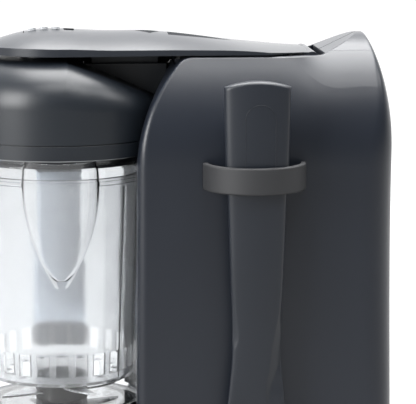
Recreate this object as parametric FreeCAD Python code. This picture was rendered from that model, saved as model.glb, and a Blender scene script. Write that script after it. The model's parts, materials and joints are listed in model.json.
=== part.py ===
import FreeCAD, Part
import math
import os

V = FreeCAD.Vector

# Baby food maker: a steaming and blending bowl beside a housing, under a hinged arm.
# Millimetres. +X runs from the bowl to the housing, +Z is up, -Y is the side with the spatula.
# The origin is on the table, under the middle of the whole machine.

# Bowl
BOWL_TOP_R = 57.0
BOWL_RIM_FLARE = 3.0
BOWL_LOW_R = 54.0
BOWL_FOOT_R = 46.0
BOWL_FOOT_RING = 6.0
BOWL_FOOT_H = 7.5
BOWL_FLOOR_T = 3.0
BOWL_WALL = 2.5
BOWL_H = 172.0
BOWL_CORNER_H = 13.0
BOWL_BEND_OUT = 0.7
BOWL_BEND_UP = 0.3
BOWL_RIM_H = 5.0
LEDGE_DROP = 14.0
LEDGE_H = 2.5
LEDGE_W = 2.6
SPOUT_TOP_R = 23.2
SPOUT_MID_R = 24.0
SPOUT_LOW_R = 18.5
SPOUT_TIP_R = 5.5
SPOUT_REACH = 13.0
SPOUT_TIP_DROP = 79.0
SPOUT_WALL = 2.2

# Bowl handle
HANDLE_W = 38.0
HANDLE_GRIP_T = 13.0
HANDLE_GAP = 22.0
HANDLE_TOP_DROP = 7.0
HANDLE_H = 132.0
HANDLE_BAR = 16.0
HANDLE_ROUND = 4.5
HANDLE_CORNER_R = 18.0

# Steam basket
BASKET_LOW_R = 46.0
BASKET_WALL = 1.6
BASKET_LIFT = 17.5
BASKET_SLOTS = 24
BASKET_SLOT_W = 8.0
BASKET_SLOT_H = 14.0
BASKET_SLOT_LIFT = 6.0
BASKET_HOLE_R = 2.2
BASKET_HOLES = 16
BASKET_HOLE_RING_R = 34.0
BASKET_RIB_W = 2.0
BASKET_RIB_BEARING = -40.0

# Lid
LID_OVERHANG = 5.0
LID_SEAL_T = 1.3
LID_RIM_H = 9.4
LID_WALL = 2.2
DOME_H = 48.8
DOME_FLAT = 5.0
DOME_FALL = 26.5
DOME_BULGE = 1.0
DOME_ROUND = 27.0
DOME_ROUND_LOW = 8.0
SKIRT_DEPTH = 5.5
SKIRT_TAPER = 2.2
GROOVE_H = 0.6
CARRIER_R = 13.0
CARRIER_H = 3.5
CARRIER_OUT = 10.8

# Housing
WING_WRAP = 23.0
TOWER_WIDTH = 161.0
TOWER_HALF = 62.0
SPINE_HALF = 31.0
TOWER_DRAFT = 1.0
SHELL_WALL = 2.6
BAY_GAP = 4.0
BAY_T = 2.5
SHOULDER_H = 70.0
SHOULDER_RUN = 30.0
ARM_LIFT = 1.0
PEAK_RISE = 14.0
PEAK_IN = 14.0
END_SWEEP_H = 59.0
CROWN_RISE = 12.0
CROWN_STEP = 5.0
FLANK_R = 100.0
FULL_RISE = 25.7
FULL_STEP = 14.0
FULL_FLANK_R = 117.0
FULL_END = 37.0
CROWN_STATIONS = 12
EDGE_LEFT_R = 6.0
EDGE_TOP_R = 1.5
EDGE_RIGHT_R = 16.0
CORNER_LEFT_R = 12.0
CORNER_RAMP_R = 5.0
WEDGE_GROOVE_W = 1.2
WEDGE_GROOVE_D = 0.8

# Base
FOOT_H = 4.0
FOOT_R = 8.0
FOOT_BEARING = 51.0
FOOT_IN = 32.0
FOOT_SIDE_IN = 24.0
BASE_H = 22.0
BASE_WALL = 2.5
BOTTOM_T = 2.5
PEDESTAL_R = 58.0
RECESS_DEPTH = 6.0
SCREW_R = 1.5
SCREW_HEAD_R = 3.2
SCREW_HEAD_H = 1.2
SCREW_LENGTH = 11.0
POST_R = 4.0
VENTS = 7
VENT_PITCH = 9.0
VENT_W = 3.0
VENT_L = 26.0

# Arm
ARM_TIP_R = 47.0
ARM_HALF = 42.5
ARM_TAPER = 22.0
ARM_WALL = 2.0
ARM_PLATE_T = 1.5
ARM_CREST_H = 13.6
ARM_SIDE_GAP = 1.5
INLAY_DEPTH = 1.0
ARROW_OFFSET = 3.0
ARROW_TAIL_L = 41.0
ARROW_TAIL_W = 24.0
ARROW_HEAD_L = 16.0
ARROW_HEAD_W = 22.0
ARROW_GAP = 5.0
PIN_IN = 49.0
PIN_DROP = 4.0
PIN_R = 2.5
BARREL_R = 5.0
WEDGE_OFFSET = 8.0
RAMP_OFFSET = 5.5
KNUCKLE_HALF = 17.5

# Latch
SLIDER_W = 14.0
SLIDER_L = 25.0
SLIDER_OFFSET = 9.0
LATCH_TRAVEL = 6.0
LATCH_T = 1.0
HOOK_Y = 22.0
HOOK_W = 6.0
HOOK_T = 4.0
HOOK_LIP = 6.0
HOOK_LIP_T = 2.0
PIPS = 3
PIP_L = 5.0
PIP_W = 10.0
PIP_PITCH = 7.5
PIP_H = 1.8

# Steam duct on the arm
DUCT_HALF = 10.0
DUCT_LENGTH = 52.0
DUCT_DROP = 4.0
DUCT_H = 22.0
DUCT_WALL = 2.0
DUCT_NECK_HALF = 5.0
STEAM_Z_DROP = 15.0
STEAM_R = 4.0
STEAM_BORE_R = 2.5
INLET_IN = 24.0

# Heating tank
TANK_R = 24.0
TANK_WALL = 1.2
TANK_FLANGE = 4.0
TANK_FLANGE_T = 1.5
TANK_DEPTH = 46.0
DECK_T = 2.5
HEATER_T = 8.0
THERMOSTAT_R = 8.0
THERMOSTAT_H = 6.0

# Blade and drive
HUB_R = 16.6
HUB_H = 15.3
KNIFE_R = 43.0
KNIFE_W = 12.0
KNIFE_T = 1.2
KNIFE_LOW_RISE = 4.3
KNIFE_TOP_RISE = 9.2
KNIFE_BEARING = 25.0
BLADE_SHAFT_R = 4.0
BUSH_R = 7.0
SHAFT_SEAL_T = 0.4
SHAFT_SEAL_LIP = 2.0
COUPLING_R = 13.0
COUPLING_T = 1.2
DOG_R = 9.0
DRIVE_SHAFT_R = 3.0
DRIVE_BUSH_R = 8.0
LOWER_BUSH_H = 2.5
PULLEY_H = 7.0
DRIVEN_PULLEY_R = 24.0
MOTOR_PULLEY_R = 8.0
PULLEY_FLANGE = 2.2
PULLEY_FLANGE_T = 1.0
BELT_T = 1.5

# Motor
MOTOR_IN = 60.0
MOTOR_R = 32.0
MOTOR_H = 58.0
MOTOR_WALL = 12.0
BELL_H = 8.0
ROTOR_GAP = 0.8
MOTOR_SHAFT_R = 4.0
MOTOR_PLATE_T = 3.0
MOTOR_PLATE_HALF = 40.0
FAN_R = 28.0
FAN_H = 10.0
FAN_BLADES = 9

# Controls on the front
KNOB_IN = 80.0
KNOB_Z = 82.0
KNOB_R = 21.0
KNOB_H = 15.0
KNOB_STEM_R = 3.0
KNOB_FLUTES = 18
KNOB_FLUTE_R = 1.5
KNOB_MARK_W = 2.0
KNOB_SWEEP = 60
DIAL_R = 30.0
DIAL_T = 0.8
TICK_W = 1.0
TICK_L = 4.0
SWITCH_HALF = 12.0
SWITCH_D = 14.0
BOARD_T = 1.6
BOARD_L = 66.0
BOARD_H = 64.0
LENS_R = 3.5
LENS_RISE = 38.0
GLAND_R = 6.5
GLAND_BORE_R = 3.6
GLAND_RISE = 20.0
GLAND_LENGTH = 9.0
GLAND_COLLAR = 2.0

# Spatula and its loop
SPATULA_IN = 88.3
SPATULA_TOP_W = 41.0
SPATULA_GRIP_W = 38.4
SPATULA_WAIST_W = 29.7
SPATULA_BLADE_W = 35.2
SPATULA_TIP_W = 44.0
SPATULA_LENGTH = 222.0
SPATULA_TOP_DROP = 11.0
SPATULA_T = 11.0
SPATULA_WAIST_T = 6.5
SPATULA_TIP_T = 2.6
SPATULA_EDGE = 0.4
SPATULA_CROWN = 0.3
SPATULA_GAP = 2.2
SPATULA_TOP_BOW = 11.0
SPATULA_TIP_BOW = 3.0
LOOP_W = 63.5
LOOP_H = 16.5
LOOP_T = 3.0
LOOP_REACH = 30.0
LOOP_TOP_DROP = 62.7
LOOP_SEAT = 1.2

# Clearances
RUN_FIT = 0.05
LOOSE_FIT = 0.3
SEAT_FIT = 0.5
BELT_FIT = 0.35

# Heights that follow from the sizes above
BASE_Z = FOOT_H
BASE_TOP_Z = BASE_Z + BASE_H
RECESS_Z = BASE_TOP_Z - RECESS_DEPTH
FLOOR_LOW_Z = RECESS_Z + BOWL_FOOT_H
FLOOR_Z = FLOOR_LOW_Z + BOWL_FLOOR_T
RIM_Z = RECESS_Z + BOWL_H
LEDGE_Z = RIM_Z - LEDGE_DROP
LID_Z = RIM_Z + LID_SEAL_T
DOME_Z = LID_Z + LID_RIM_H
DOME_TOP_Z = DOME_Z + DOME_H
ARM_Z = DOME_TOP_Z + CARRIER_H
TOWER_TOP_Z = ARM_Z - ARM_LIFT
PIN_Z = ARM_Z - PIN_DROP
TANK_TOP_Z = ARM_Z - LID_SEAL_T
DECK_Z = TANK_TOP_Z - TANK_FLANGE_T
SHOULDER_Z = TOWER_TOP_Z - SHOULDER_H
STEAM_Z = ARM_Z - STEAM_Z_DROP
WELL_Z = PIN_Z - BARREL_R - SEAT_FIT
DUCT_TOP_Z = DOME_TOP_Z - DUCT_DROP
WINDOW_Z = DUCT_TOP_Z - DUCT_H - BAY_T
BASKET_Z = FLOOR_Z + BASKET_LIFT
HUB_Z = FLOOR_Z + SHAFT_SEAL_T + LOOSE_FIT
PULLEY_Z = BASE_Z + BOTTOM_T + LOWER_BUSH_H + LOOSE_FIT
DOG_Z = RECESS_Z + LOOSE_FIT
MOTOR_Z = BASE_TOP_Z + MOTOR_PLATE_T
FAN_Z = MOTOR_Z + 2 * BELL_H + MOTOR_H + SEAT_FIT
HEATER_Z = TANK_TOP_Z - TANK_DEPTH - HEATER_T
GLAND_Z = BASE_TOP_Z + GLAND_RISE

# Plan positions that follow from the sizes above
BOWL_RIM_R = BOWL_TOP_R + BOWL_RIM_FLARE
LID_R = BOWL_RIM_R + LID_OVERHANG
BAY_R = LID_R + BAY_GAP
LENGTH = LID_R + BAY_R - WING_WRAP + TOWER_WIDTH
BOWL_X = LID_R - LENGTH / 2
TOWER_LEFT = BOWL_X + BAY_R - WING_WRAP
TOWER_RIGHT = LENGTH / 2
PIN_X = TOWER_RIGHT - PIN_IN
WEDGE_X = PIN_X + WEDGE_OFFSET
MOTOR_X = TOWER_RIGHT - MOTOR_IN
KNOB_X = TOWER_RIGHT - KNOB_IN
SPATULA_X = TOWER_RIGHT - SPATULA_IN
WELL_X = PIN_X - BARREL_R - SEAT_FIT - BAY_T
PANEL_X = BOWL_X + BAY_R + SEAT_FIT + BAY_T
DUCT_X = PANEL_X - BAY_T - LID_SEAL_T - LOOSE_FIT
TANK_X = WELL_X - TANK_R - TANK_FLANGE - LOOSE_FIT
HINGE_HALF = SPINE_HALF - ARM_SIDE_GAP
CROWN_R = TOWER_HALF - CROWN_STEP
FULL_R = TOWER_HALF - FULL_STEP
WINDOW_HALF = DUCT_HALF + BAY_T
HOOK_X = PANEL_X + 2 * HOOK_T
TAIL_X = HOOK_X + HOOK_T + HOOK_LIP + SEAT_FIT + ARM_WALL
SLIDER_X = BOWL_X - SLIDER_L / 2 - SLIDER_OFFSET
ARROW_X = PANEL_X - ARROW_OFFSET
LEDGE_R = BOWL_TOP_R - BOWL_WALL - LEDGE_W
SKIRT_R = BOWL_TOP_R - BOWL_WALL - SEAT_FIT
PLANES = {
    "xy": lambda a, b: V(a, b, 0),
    "xz": lambda a, b: V(a, 0, b),
    "yz": lambda a, b: V(0, a, b),
}


def outline(plane, steps):
    """Face inside a closed outline: a step is a point, or (middle, end) of an arc."""
    place = PLANES[plane]
    here = steps[0]
    edges = []
    for step in list(steps[1:]) + [steps[0]]:
        if isinstance(step[0], tuple):
            middle, end = step
            arc = Part.Arc(place(*here), place(*middle), place(*end))
            edges.append(arc.toShape())
            here = end
        elif step != here:
            edges.append(Part.LineSegment(place(*here), place(*step)).toShape())
            here = step
    return Part.Face(Part.Wire(edges))


def box(x0, x1, y0, y1, z0, z1):
    return Part.makeBox(x1 - x0, y1 - y0, z1 - z0, V(x0, y0, z0))


def rod(radius, z0, z1, x=0.0, y=0.0):
    return Part.makeCylinder(radius, z1 - z0, V(x, y, z0))


def rod_x(radius, x0, x1, y, z):
    return Part.makeCylinder(radius, x1 - x0, V(x0, y, z), V(1, 0, 0))


def rod_y(radius, y0, y1, x, z):
    return Part.makeCylinder(radius, y1 - y0, V(x, y0, z), V(0, 1, 0))


def tube(outer, inner, z0, z1, x=0.0, y=0.0):
    return rod(outer, z0, z1, x, y).cut(rod(inner, z0 - 1, z1 + 1, x, y))


def turned(steps, x):
    """Solid of revolution about the upright line at x, from an outline in radius and height."""
    solid = outline("xz", steps).revolve(V(0, 0, 0), V(0, 0, 1), 360)
    solid.translate(V(x, 0, 0))
    return solid


def side_prism(steps, y0, y1):
    solid = outline("xz", steps).extrude(V(0, y1 - y0, 0))
    solid.translate(V(0, y0, 0))
    return solid


def plan_prism(steps, z0, z1):
    solid = outline("xy", steps).extrude(V(0, 0, z1 - z0))
    solid.translate(V(0, 0, z0))
    return solid


def fuse(*shapes):
    return shapes[0].multiFuse(list(shapes[1:])).removeSplitter()


def mirror_y(shape):
    return shape.mirror(V(0, 0, 0), V(0, 1, 0))


def turn_about(shape, x, degrees):
    """Copy of a shape turned about the upright line at x."""
    copy = shape.copy()
    copy.rotate(V(x, 0, 0), V(0, 0, 1), degrees)
    return copy


def group(shapes):
    return Part.makeCompound(shapes)


def vary_fillet(shape, edges, radius_at):
    """Round the given edges with a radius that follows the place along each edge."""
    scratch = FreeCAD.newDocument("rounding")
    base = scratch.addObject("Part::Feature", "base")
    base.Shape = shape
    rounding = scratch.addObject("Part::Fillet", "rounding")
    rounding.Base = base
    sized = []
    for number, edge in enumerate(shape.Edges, start=1):
        if any(edge.isSame(wanted) for wanted in edges):
            first = edge.valueAt(edge.FirstParameter)
            last = edge.valueAt(edge.LastParameter)
            sized.append((number, radius_at(first), radius_at(last)))
    rounding.Edges = sized
    scratch.recompute()
    result = rounding.Shape.copy()
    FreeCAD.closeDocument(scratch.Name)
    return result


# Housing


def swept_middle(x0, z0, x1, z1):
    """Middle of the arc that leaves (x0, z0) upright and ends at (x1, z1)."""
    run = x1 - x0
    rise = z1 - z0
    radius = (run * run + rise * rise) / (2 * abs(run))
    side = math.copysign(1, run)
    half_turn = math.asin(rise / radius) / 2
    return (x0 + side * radius * (1 - math.cos(half_turn)), z0 + radius * math.sin(half_turn))


def tower_points(inset):
    """Corners of the housing's side outline, moved in by a wall."""
    lean = inset / 3
    return {
        "left_foot": (TOWER_LEFT + inset, BASE_TOP_Z - inset),
        "left": (TOWER_LEFT + TOWER_DRAFT + inset, SHOULDER_Z),
        "left_top": (TOWER_LEFT + TOWER_DRAFT + SHOULDER_RUN + lean, TOWER_TOP_Z - inset),
        "ramp": (PIN_X + inset / 2 + RAMP_OFFSET, TOWER_TOP_Z - inset),
        "peak": (TOWER_RIGHT - PEAK_IN - inset, TOWER_TOP_Z + PEAK_RISE - inset * 1.5),
        "right": (TOWER_RIGHT - TOWER_DRAFT - inset, TOWER_TOP_Z - END_SWEEP_H),
        "right_foot": (TOWER_RIGHT - inset, BASE_TOP_Z - inset),
    }


def tower_prism(inset, y0, y1):
    """The housing's side outline across its depth, with its upper corners rounded."""
    at = tower_points(inset)
    steps = [
        at["left_foot"],
        at["left"],
        (swept_middle(*at["left"], *at["left_top"]), at["left_top"]),
        at["ramp"],
        at["peak"],
        (swept_middle(*at["right"], *at["peak"]), at["right"]),
        at["right_foot"],
    ]
    solid = side_prism(steps, y0, y1)
    corners = {
        "left_top": CORNER_LEFT_R - inset,
        "ramp": CORNER_RAMP_R + inset,
    }
    for name, radius in corners.items():
        x, z = at[name]
        edges = []
        for edge in solid.Edges:
            middle = edge.CenterOfMass
            if edge.BoundBox.YLength > 1 and abs(middle.x - x) + abs(middle.z - z) < 0.01:
                edges.append(edge)
        solid = solid.makeFillet(radius, edges)
    return solid


def crown_section(x, inset, crown_r, rise, flank_r):
    """The housing's arched cross section at x: upright sides, two flanks and the crown."""
    half = TOWER_HALF - inset
    across = flank_r - TOWER_HALF
    fall = math.sqrt((flank_r - crown_r) ** 2 - across ** 2)
    crown_z = TOWER_TOP_Z + rise - crown_r
    flank_z = crown_z - fall
    turn = math.atan2(fall, across)
    crown_in = crown_r - inset
    flank_in = flank_r - inset
    bend = (crown_in * math.cos(turn), crown_z + crown_in * math.sin(turn))
    middle = (flank_in * math.cos(turn / 2) - across, flank_z + flank_in * math.sin(turn / 2))
    steps = [
        (-half, 0.0),
        (-half, flank_z),
        ((-middle[0], middle[1]), (-bend[0], bend[1])),
        ((0.0, crown_z + crown_in), bend),
        (middle, (half, flank_z)),
        (half, 0.0),
    ]
    section = outline("yz", steps)
    section.translate(V(x, 0, 0))
    return section.OuterWire


def crown_block(inset):
    """The housing's arch, full beside the deck and drawn in to a round crown at the ramp."""
    start = TOWER_LEFT - 1
    run = TOWER_WIDTH + 2
    wires = []
    for station in range(CROWN_STATIONS + 1):
        x = start + run * station / CROWN_STATIONS
        along = min(max((x - WEDGE_X + FULL_END) / FULL_END, 0), 1)
        share = along * along * (3 - 2 * along)
        crown_r = FULL_R + (CROWN_R - FULL_R) * share
        rise = FULL_RISE + (CROWN_RISE - FULL_RISE) * share
        flank_r = FULL_FLANK_R + (FLANK_R - FULL_FLANK_R) * share
        wires.append(crown_section(x, inset, crown_r, rise, flank_r))
    return Part.makeLoft(wires, True, False)


def edge_radius(point):
    """Rounding of the housing's outer edges, growing from the top down."""
    share = min(max((TOWER_TOP_Z - point.z) / SHOULDER_H, 0), 1)
    low = EDGE_LEFT_R if point.x < PIN_X else EDGE_RIGHT_R
    return EDGE_TOP_R + (low - EDGE_TOP_R) * share


def tower_half(inset):
    """The -Y half of the housing's pillow shape, moved in by a wall."""
    prism = tower_prism(inset, -TOWER_HALF - 1, 0.0)
    form = prism.common(crown_block(inset)).removeSplitter()
    edges = []
    for edge in form.Edges:
        bounds = edge.BoundBox
        foot = bounds.ZMax < BASE_TOP_Z + 0.01
        middle = bounds.YMin > -0.01
        across = bounds.XLength < 0.01 and bounds.ZLength < 0.01
        halfway = Part.Vertex(edge.valueAt((edge.FirstParameter + edge.LastParameter) / 2))
        inside = halfway.distToShape(prism.Shells[0])[0] > 0.01
        top = bounds.ZMin > TOWER_TOP_Z - inset - 0.01
        if not (foot or middle or across or inside or top):
            edges.append(edge)
    return vary_fillet(form, edges, edge_radius)


def tower_form(inset):
    half = tower_half(inset)
    return fuse(half, mirror_y(half))


def tower_wall():
    """The -Y half of the housing's wall."""
    return tower_half(0.0).cut(tower_half(SHELL_WALL))


def bay_cylinder(radius):
    return rod(radius, 0.0, TOWER_TOP_Z + PEAK_RISE, BOWL_X)


def half_shell():
    """One side of the housing, on the -Y side."""
    above = TOWER_TOP_Z + PEAK_RISE
    side = box(-LENGTH, LENGTH, -LENGTH, -SPINE_HALF, 0.0, above)
    return tower_wall().common(side).cut(bay_cylinder(BAY_R + BAY_T))


def back_shell():
    return half_shell().cut(spatula_loop())


def front_shell():
    shell = mirror_y(half_shell())
    shell = shell.cut(rod_y(KNOB_STEM_R + LOOSE_FIT, 0.0, TOWER_HALF + 1, KNOB_X, KNOB_Z))
    return shell.cut(rod_y(LENS_R, 0.0, TOWER_HALF + 1, KNOB_X, KNOB_Z + LENS_RISE))


def spine_band():
    """The strip between the two side shells, one wall thick."""
    above = TOWER_TOP_Z + PEAK_RISE
    half = tower_wall().common(box(-LENGTH, LENGTH, -SPINE_HALF, 0.0, 0.0, above))
    return fuse(half, mirror_y(half))


def end_spine():
    outer = tower_form(0.0)
    above = TOWER_TOP_Z + PEAK_RISE
    band = spine_band().common(box(WEDGE_X, LENGTH, -SPINE_HALF, SPINE_HALF, 0.0, above))
    wall = box(WEDGE_X, WEDGE_X + BAY_T, -SPINE_HALF, SPINE_HALF, WELL_Z - DECK_T, above)
    spine = fuse(band, wall.common(outer))
    groove_half = WEDGE_GROOVE_W / 2
    groove = outer.cut(tower_form(WEDGE_GROOVE_D))
    peak_x = TOWER_RIGHT - PEAK_IN
    spine = spine.cut(groove.common(box(WEDGE_X - 1, peak_x, -groove_half, groove_half, 0.0, above)))
    return spine.cut(rod_x(GLAND_R, 0.0, LENGTH, 0.0, GLAND_Z))


def bay_wall():
    """Hollow front of the housing that wraps the bowl, with its roof and the steam port's recess."""
    above = TOWER_TOP_Z + PEAK_RISE
    prism = tower_form(0.0)
    wrap = tube(BAY_R + BAY_T, BAY_R, BASE_TOP_Z, above, BOWL_X).common(prism)
    roof = spine_band().common(box(TOWER_LEFT, PANEL_X, -SPINE_HALF, SPINE_HALF, 0.0, above))
    roof = roof.cut(bay_cylinder(BAY_R))
    window = box(BOWL_X, PANEL_X - BAY_T, -WINDOW_HALF, WINDOW_HALF, WINDOW_Z, above)
    frame_half = WINDOW_HALF + BAY_T
    recess = box(BOWL_X, PANEL_X, -frame_half, frame_half, WINDOW_Z - BAY_T, DECK_Z)
    recess = recess.common(prism).cut(bay_cylinder(BAY_R))
    wall = fuse(wrap, roof, recess).cut(window)
    return wall.cut(rod_x(STEAM_R, BOWL_X, TANK_X, 0.0, STEAM_Z))


def hook_slot(z0, z1):
    """Openings for the two latch hooks, long enough for their travel."""
    x1 = HOOK_X + HOOK_T + HOOK_LIP + SEAT_FIT
    half = HOOK_W / 2 + SEAT_FIT
    slot = box(HOOK_X - SEAT_FIT, x1, HOOK_Y - half, HOOK_Y + half, z0, z1)
    return slot.fuse(mirror_y(slot))


def top_deck():
    deck = box(PANEL_X, WELL_X, -SPINE_HALF, SPINE_HALF, DECK_Z - DECK_T, DECK_Z)
    deck = deck.cut(rod(TANK_R + TANK_WALL + LOOSE_FIT, 0.0, ARM_Z, TANK_X))
    return deck.cut(hook_slot(0.0, ARM_Z))


def hinge_bracket():
    floor = box(WELL_X, WEDGE_X, -SPINE_HALF, SPINE_HALF, WELL_Z - DECK_T, WELL_Z)
    wall = box(WELL_X, WELL_X + BAY_T, -SPINE_HALF, SPINE_HALF, WELL_Z - DECK_T, DECK_Z)
    knuckle = rod_y(BARREL_R, -KNUCKLE_HALF, KNUCKLE_HALF, PIN_X, PIN_Z)
    web_half = BARREL_R - PIN_R / 2
    web = box(PIN_X - web_half, PIN_X + web_half, -KNUCKLE_HALF, KNUCKLE_HALF, WELL_Z, PIN_Z)
    bore = rod_y(PIN_R, -SPINE_HALF, SPINE_HALF, PIN_X, PIN_Z)
    return fuse(floor, wall, knuckle, web).cut(bore)


def hinge_pin():
    return rod_y(PIN_R, -HINGE_HALF, HINGE_HALF, PIN_X, PIN_Z)


# Base


def corner(x, y, radius, start, turn):
    """Arc step round a corner's centre, from one bearing through a turn, in degrees."""
    points = []
    for bearing in (start + turn / 2, start + turn):
        angle = math.radians(bearing)
        points.append((x + radius * math.cos(angle), y + radius * math.sin(angle)))
    return tuple(points)


def tower_footprint(inset, z0, z1):
    x0 = TOWER_LEFT + inset
    x1 = TOWER_RIGHT - inset
    half = TOWER_HALF - inset
    small = EDGE_LEFT_R - inset
    large = EDGE_RIGHT_R - inset
    steps = [
        (x0 + small, -half),
        (x1 - large, -half),
        corner(x1 - large, -half + large, large, -90, 90),
        (x1, half - large),
        corner(x1 - large, half - large, large, 0, 90),
        (x0 + small, half),
        corner(x0 + small, half - small, small, 90, 90),
        (x0, -half + small),
        corner(x0 + small, -half + small, small, 180, 90),
    ]
    return plan_prism(steps, z0, z1)


def base_block(inset, z0, z1):
    disc = rod(PEDESTAL_R - inset, z0, z1, BOWL_X)
    return fuse(disc, tower_footprint(inset, z0, z1))


def screw_places():
    ring = PEDESTAL_R - BASE_WALL - POST_R
    places = []
    for side in (-1, 1):
        places.append((BOWL_X - ring * math.cos(math.pi / 6), side * ring * math.sin(math.pi / 6)))
        places.append((TOWER_LEFT + BASE_WALL + 3 * POST_R, side * (TOWER_HALF - BASE_WALL - 3 * POST_R)))
        places.append((TOWER_RIGHT - BASE_WALL - 3 * POST_R, side * (TOWER_HALF - BASE_WALL - 4 * POST_R)))
    return places


def base_casing():
    top = BASE_TOP_Z
    disc = rod(PEDESTAL_R, BASE_Z, top, BOWL_X)
    rim = [edge for edge in disc.Edges if edge.BoundBox.ZMin > top - 0.01]
    casing = fuse(disc.makeFillet(BASE_WALL, rim), tower_footprint(0.0, BASE_Z, top))
    recess_r = BOWL_FOOT_R + SEAT_FIT
    cavity = base_block(BASE_WALL, BASE_Z - 1, top - BASE_WALL)
    cavity = cavity.cut(rod(recess_r + BASE_WALL, RECESS_Z - BASE_WALL, top, BOWL_X))
    casing = casing.cut(cavity).cut(rod(recess_r, RECESS_Z, top + 1, BOWL_X))
    posts = []
    for x, y in screw_places():
        posts.append(rod(POST_R, BASE_Z + BOTTOM_T, top - BASE_WALL, x, y))
    casing = fuse(casing, *posts)
    for x, y in screw_places():
        casing = casing.cut(rod(SCREW_R + RUN_FIT, BASE_Z, BASE_Z + SCREW_LENGTH + SEAT_FIT, x, y))
    casing = casing.cut(rod(DRIVE_BUSH_R, BASE_Z, top, BOWL_X))
    for x, y in motor_screw_places():
        casing = casing.cut(rod(SCREW_R, 0.0, top + 1, x, y))
    return casing.cut(rod(MOTOR_PULLEY_R + 2 * PULLEY_FLANGE, BASE_Z, top + 1, MOTOR_X))


def bottom_plate():
    plate = base_block(BASE_WALL + LOOSE_FIT, BASE_Z, BASE_Z + BOTTOM_T)
    for x, y in screw_places():
        plate = plate.cut(rod(SCREW_R + LOOSE_FIT, 0.0, BASE_TOP_Z, x, y))
        plate = plate.cut(rod(SCREW_HEAD_R + LOOSE_FIT, 0.0, BASE_Z + SCREW_HEAD_H, x, y))
    for number in range(VENTS):
        x = MOTOR_X + (number - (VENTS - 1) / 2) * VENT_PITCH
        for side in (-1, 1):
            y = side * VENT_L
            plate = plate.cut(box(x, x + VENT_W, y - VENT_L / 2, y + VENT_L / 2, 0.0, BASE_TOP_Z))
    return plate


def base_screws():
    screws = []
    for x, y in screw_places():
        head = rod(SCREW_HEAD_R, BASE_Z, BASE_Z + SCREW_HEAD_H, x, y)
        screws.append(fuse(head, rod(SCREW_R, BASE_Z, BASE_Z + SCREW_LENGTH, x, y)))
    return group(screws)


def feet():
    ring = PEDESTAL_R - BASE_WALL - FOOT_R - 2 * SEAT_FIT
    bearing = math.radians(FOOT_BEARING)
    pads = []
    for side in (-1, 1):
        pads.append((BOWL_X - ring * math.cos(bearing), side * ring * math.sin(bearing)))
        pads.append((TOWER_RIGHT - FOOT_IN, side * (TOWER_HALF - FOOT_SIDE_IN)))
    shapes = []
    for x, y in pads:
        pad = rod(FOOT_R, 0.0, FOOT_H, x, y)
        sole = [edge for edge in pad.Edges if edge.BoundBox.ZMax < 0.01]
        shapes.append(pad.makeFillet(FOOT_H / 4, sole))
    return group(shapes)


# Arm


def arm_plan(inset):
    half = ARM_HALF - inset
    tip = ARM_TIP_R - inset
    hinge = HINGE_HALF - inset
    neck_x = PIN_X - BARREL_R
    wide_x = neck_x - ARM_TAPER
    steps = [
        (PIN_X, -hinge),
        (PIN_X, hinge),
        (neck_x, hinge),
        (wide_x, half),
        (PANEL_X, half),
        (BOWL_X, tip),
        ((BOWL_X - tip, 0.0), (BOWL_X, -tip)),
        (PANEL_X, -half),
        (wide_x, -half),
        (neck_x, -hinge),
    ]
    return plan_prism(steps, ARM_Z, ARM_Z + 3 * ARM_CREST_H)


def arm_crown():
    """Solid under the arm's crowned top, lofted through arched cross sections.

    Each has its share of the arm's length, its crest's height and its fall to the sides,
    the last two in crest heights.
    """
    stations = (
        (-0.01, 0.35, 0.75),
        (0.05, 0.61, 0.74),
        (0.13, 0.93, 0.76),
        (0.28, 1.00, 0.74),
        (0.46, 0.93, 0.82),
        (0.67, 0.64, 0.52),
        (0.82, 0.33, 0.21),
        (0.92, 0.17, 0.18),
        (1.01, 0.08, 0.12),
    )
    tip = BOWL_X - ARM_TIP_R
    length = PIN_X - tip
    half = ARM_TIP_R + ARM_WALL
    low = ARM_Z - 2 * ARM_CREST_H
    wires = []
    for along, rise, fall in stations:
        x = tip + along * length
        crest = ARM_Z + ARM_CREST_H * rise
        side = crest - ARM_CREST_H * fall
        corners = [V(x, half, side), V(x, half, low), V(x, -half, low), V(x, -half, side)]
        edges = [Part.Arc(corners[3], V(x, 0, crest), corners[0]).toShape()]
        for start, end in zip(corners, corners[1:]):
            edges.append(Part.LineSegment(start, end).toShape())
        wires.append(Part.Wire(edges))
    return Part.makeLoft(wires, True, False)


def arm_form(inset, drop):
    crown = arm_crown()
    crown.translate(V(0, 0, -drop))
    return crown.common(arm_plan(inset))


def arrow_inlay():
    """Flush arrow in the arm's top: a kite-shaped head and a tapering tail."""
    head_x = ARROW_X - ARROW_GAP
    barb_x = head_x - ARROW_HEAD_L * 0.4
    barb = ARROW_HEAD_W / 2
    head = [(head_x - ARROW_HEAD_L, 0.0), (barb_x, -barb), (head_x, 0.0), (barb_x, barb)]
    half = ARROW_TAIL_W / 2
    bow_x = ARROW_X + ARROW_TAIL_L / 2
    bow = half * 0.7
    end = (ARROW_X + ARROW_TAIL_L, 0.0)
    tail = [(ARROW_X, -half), ((bow_x, -bow), end), ((bow_x, bow), (ARROW_X, half))]
    low = arm_crown()
    low.translate(V(0, 0, -INLAY_DEPTH))
    skin = arm_crown().cut(low)
    top = ARM_Z + 2 * ARM_CREST_H
    return group([skin.common(plan_prism(steps, ARM_Z, top)) for steps in (head, tail)])


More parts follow.
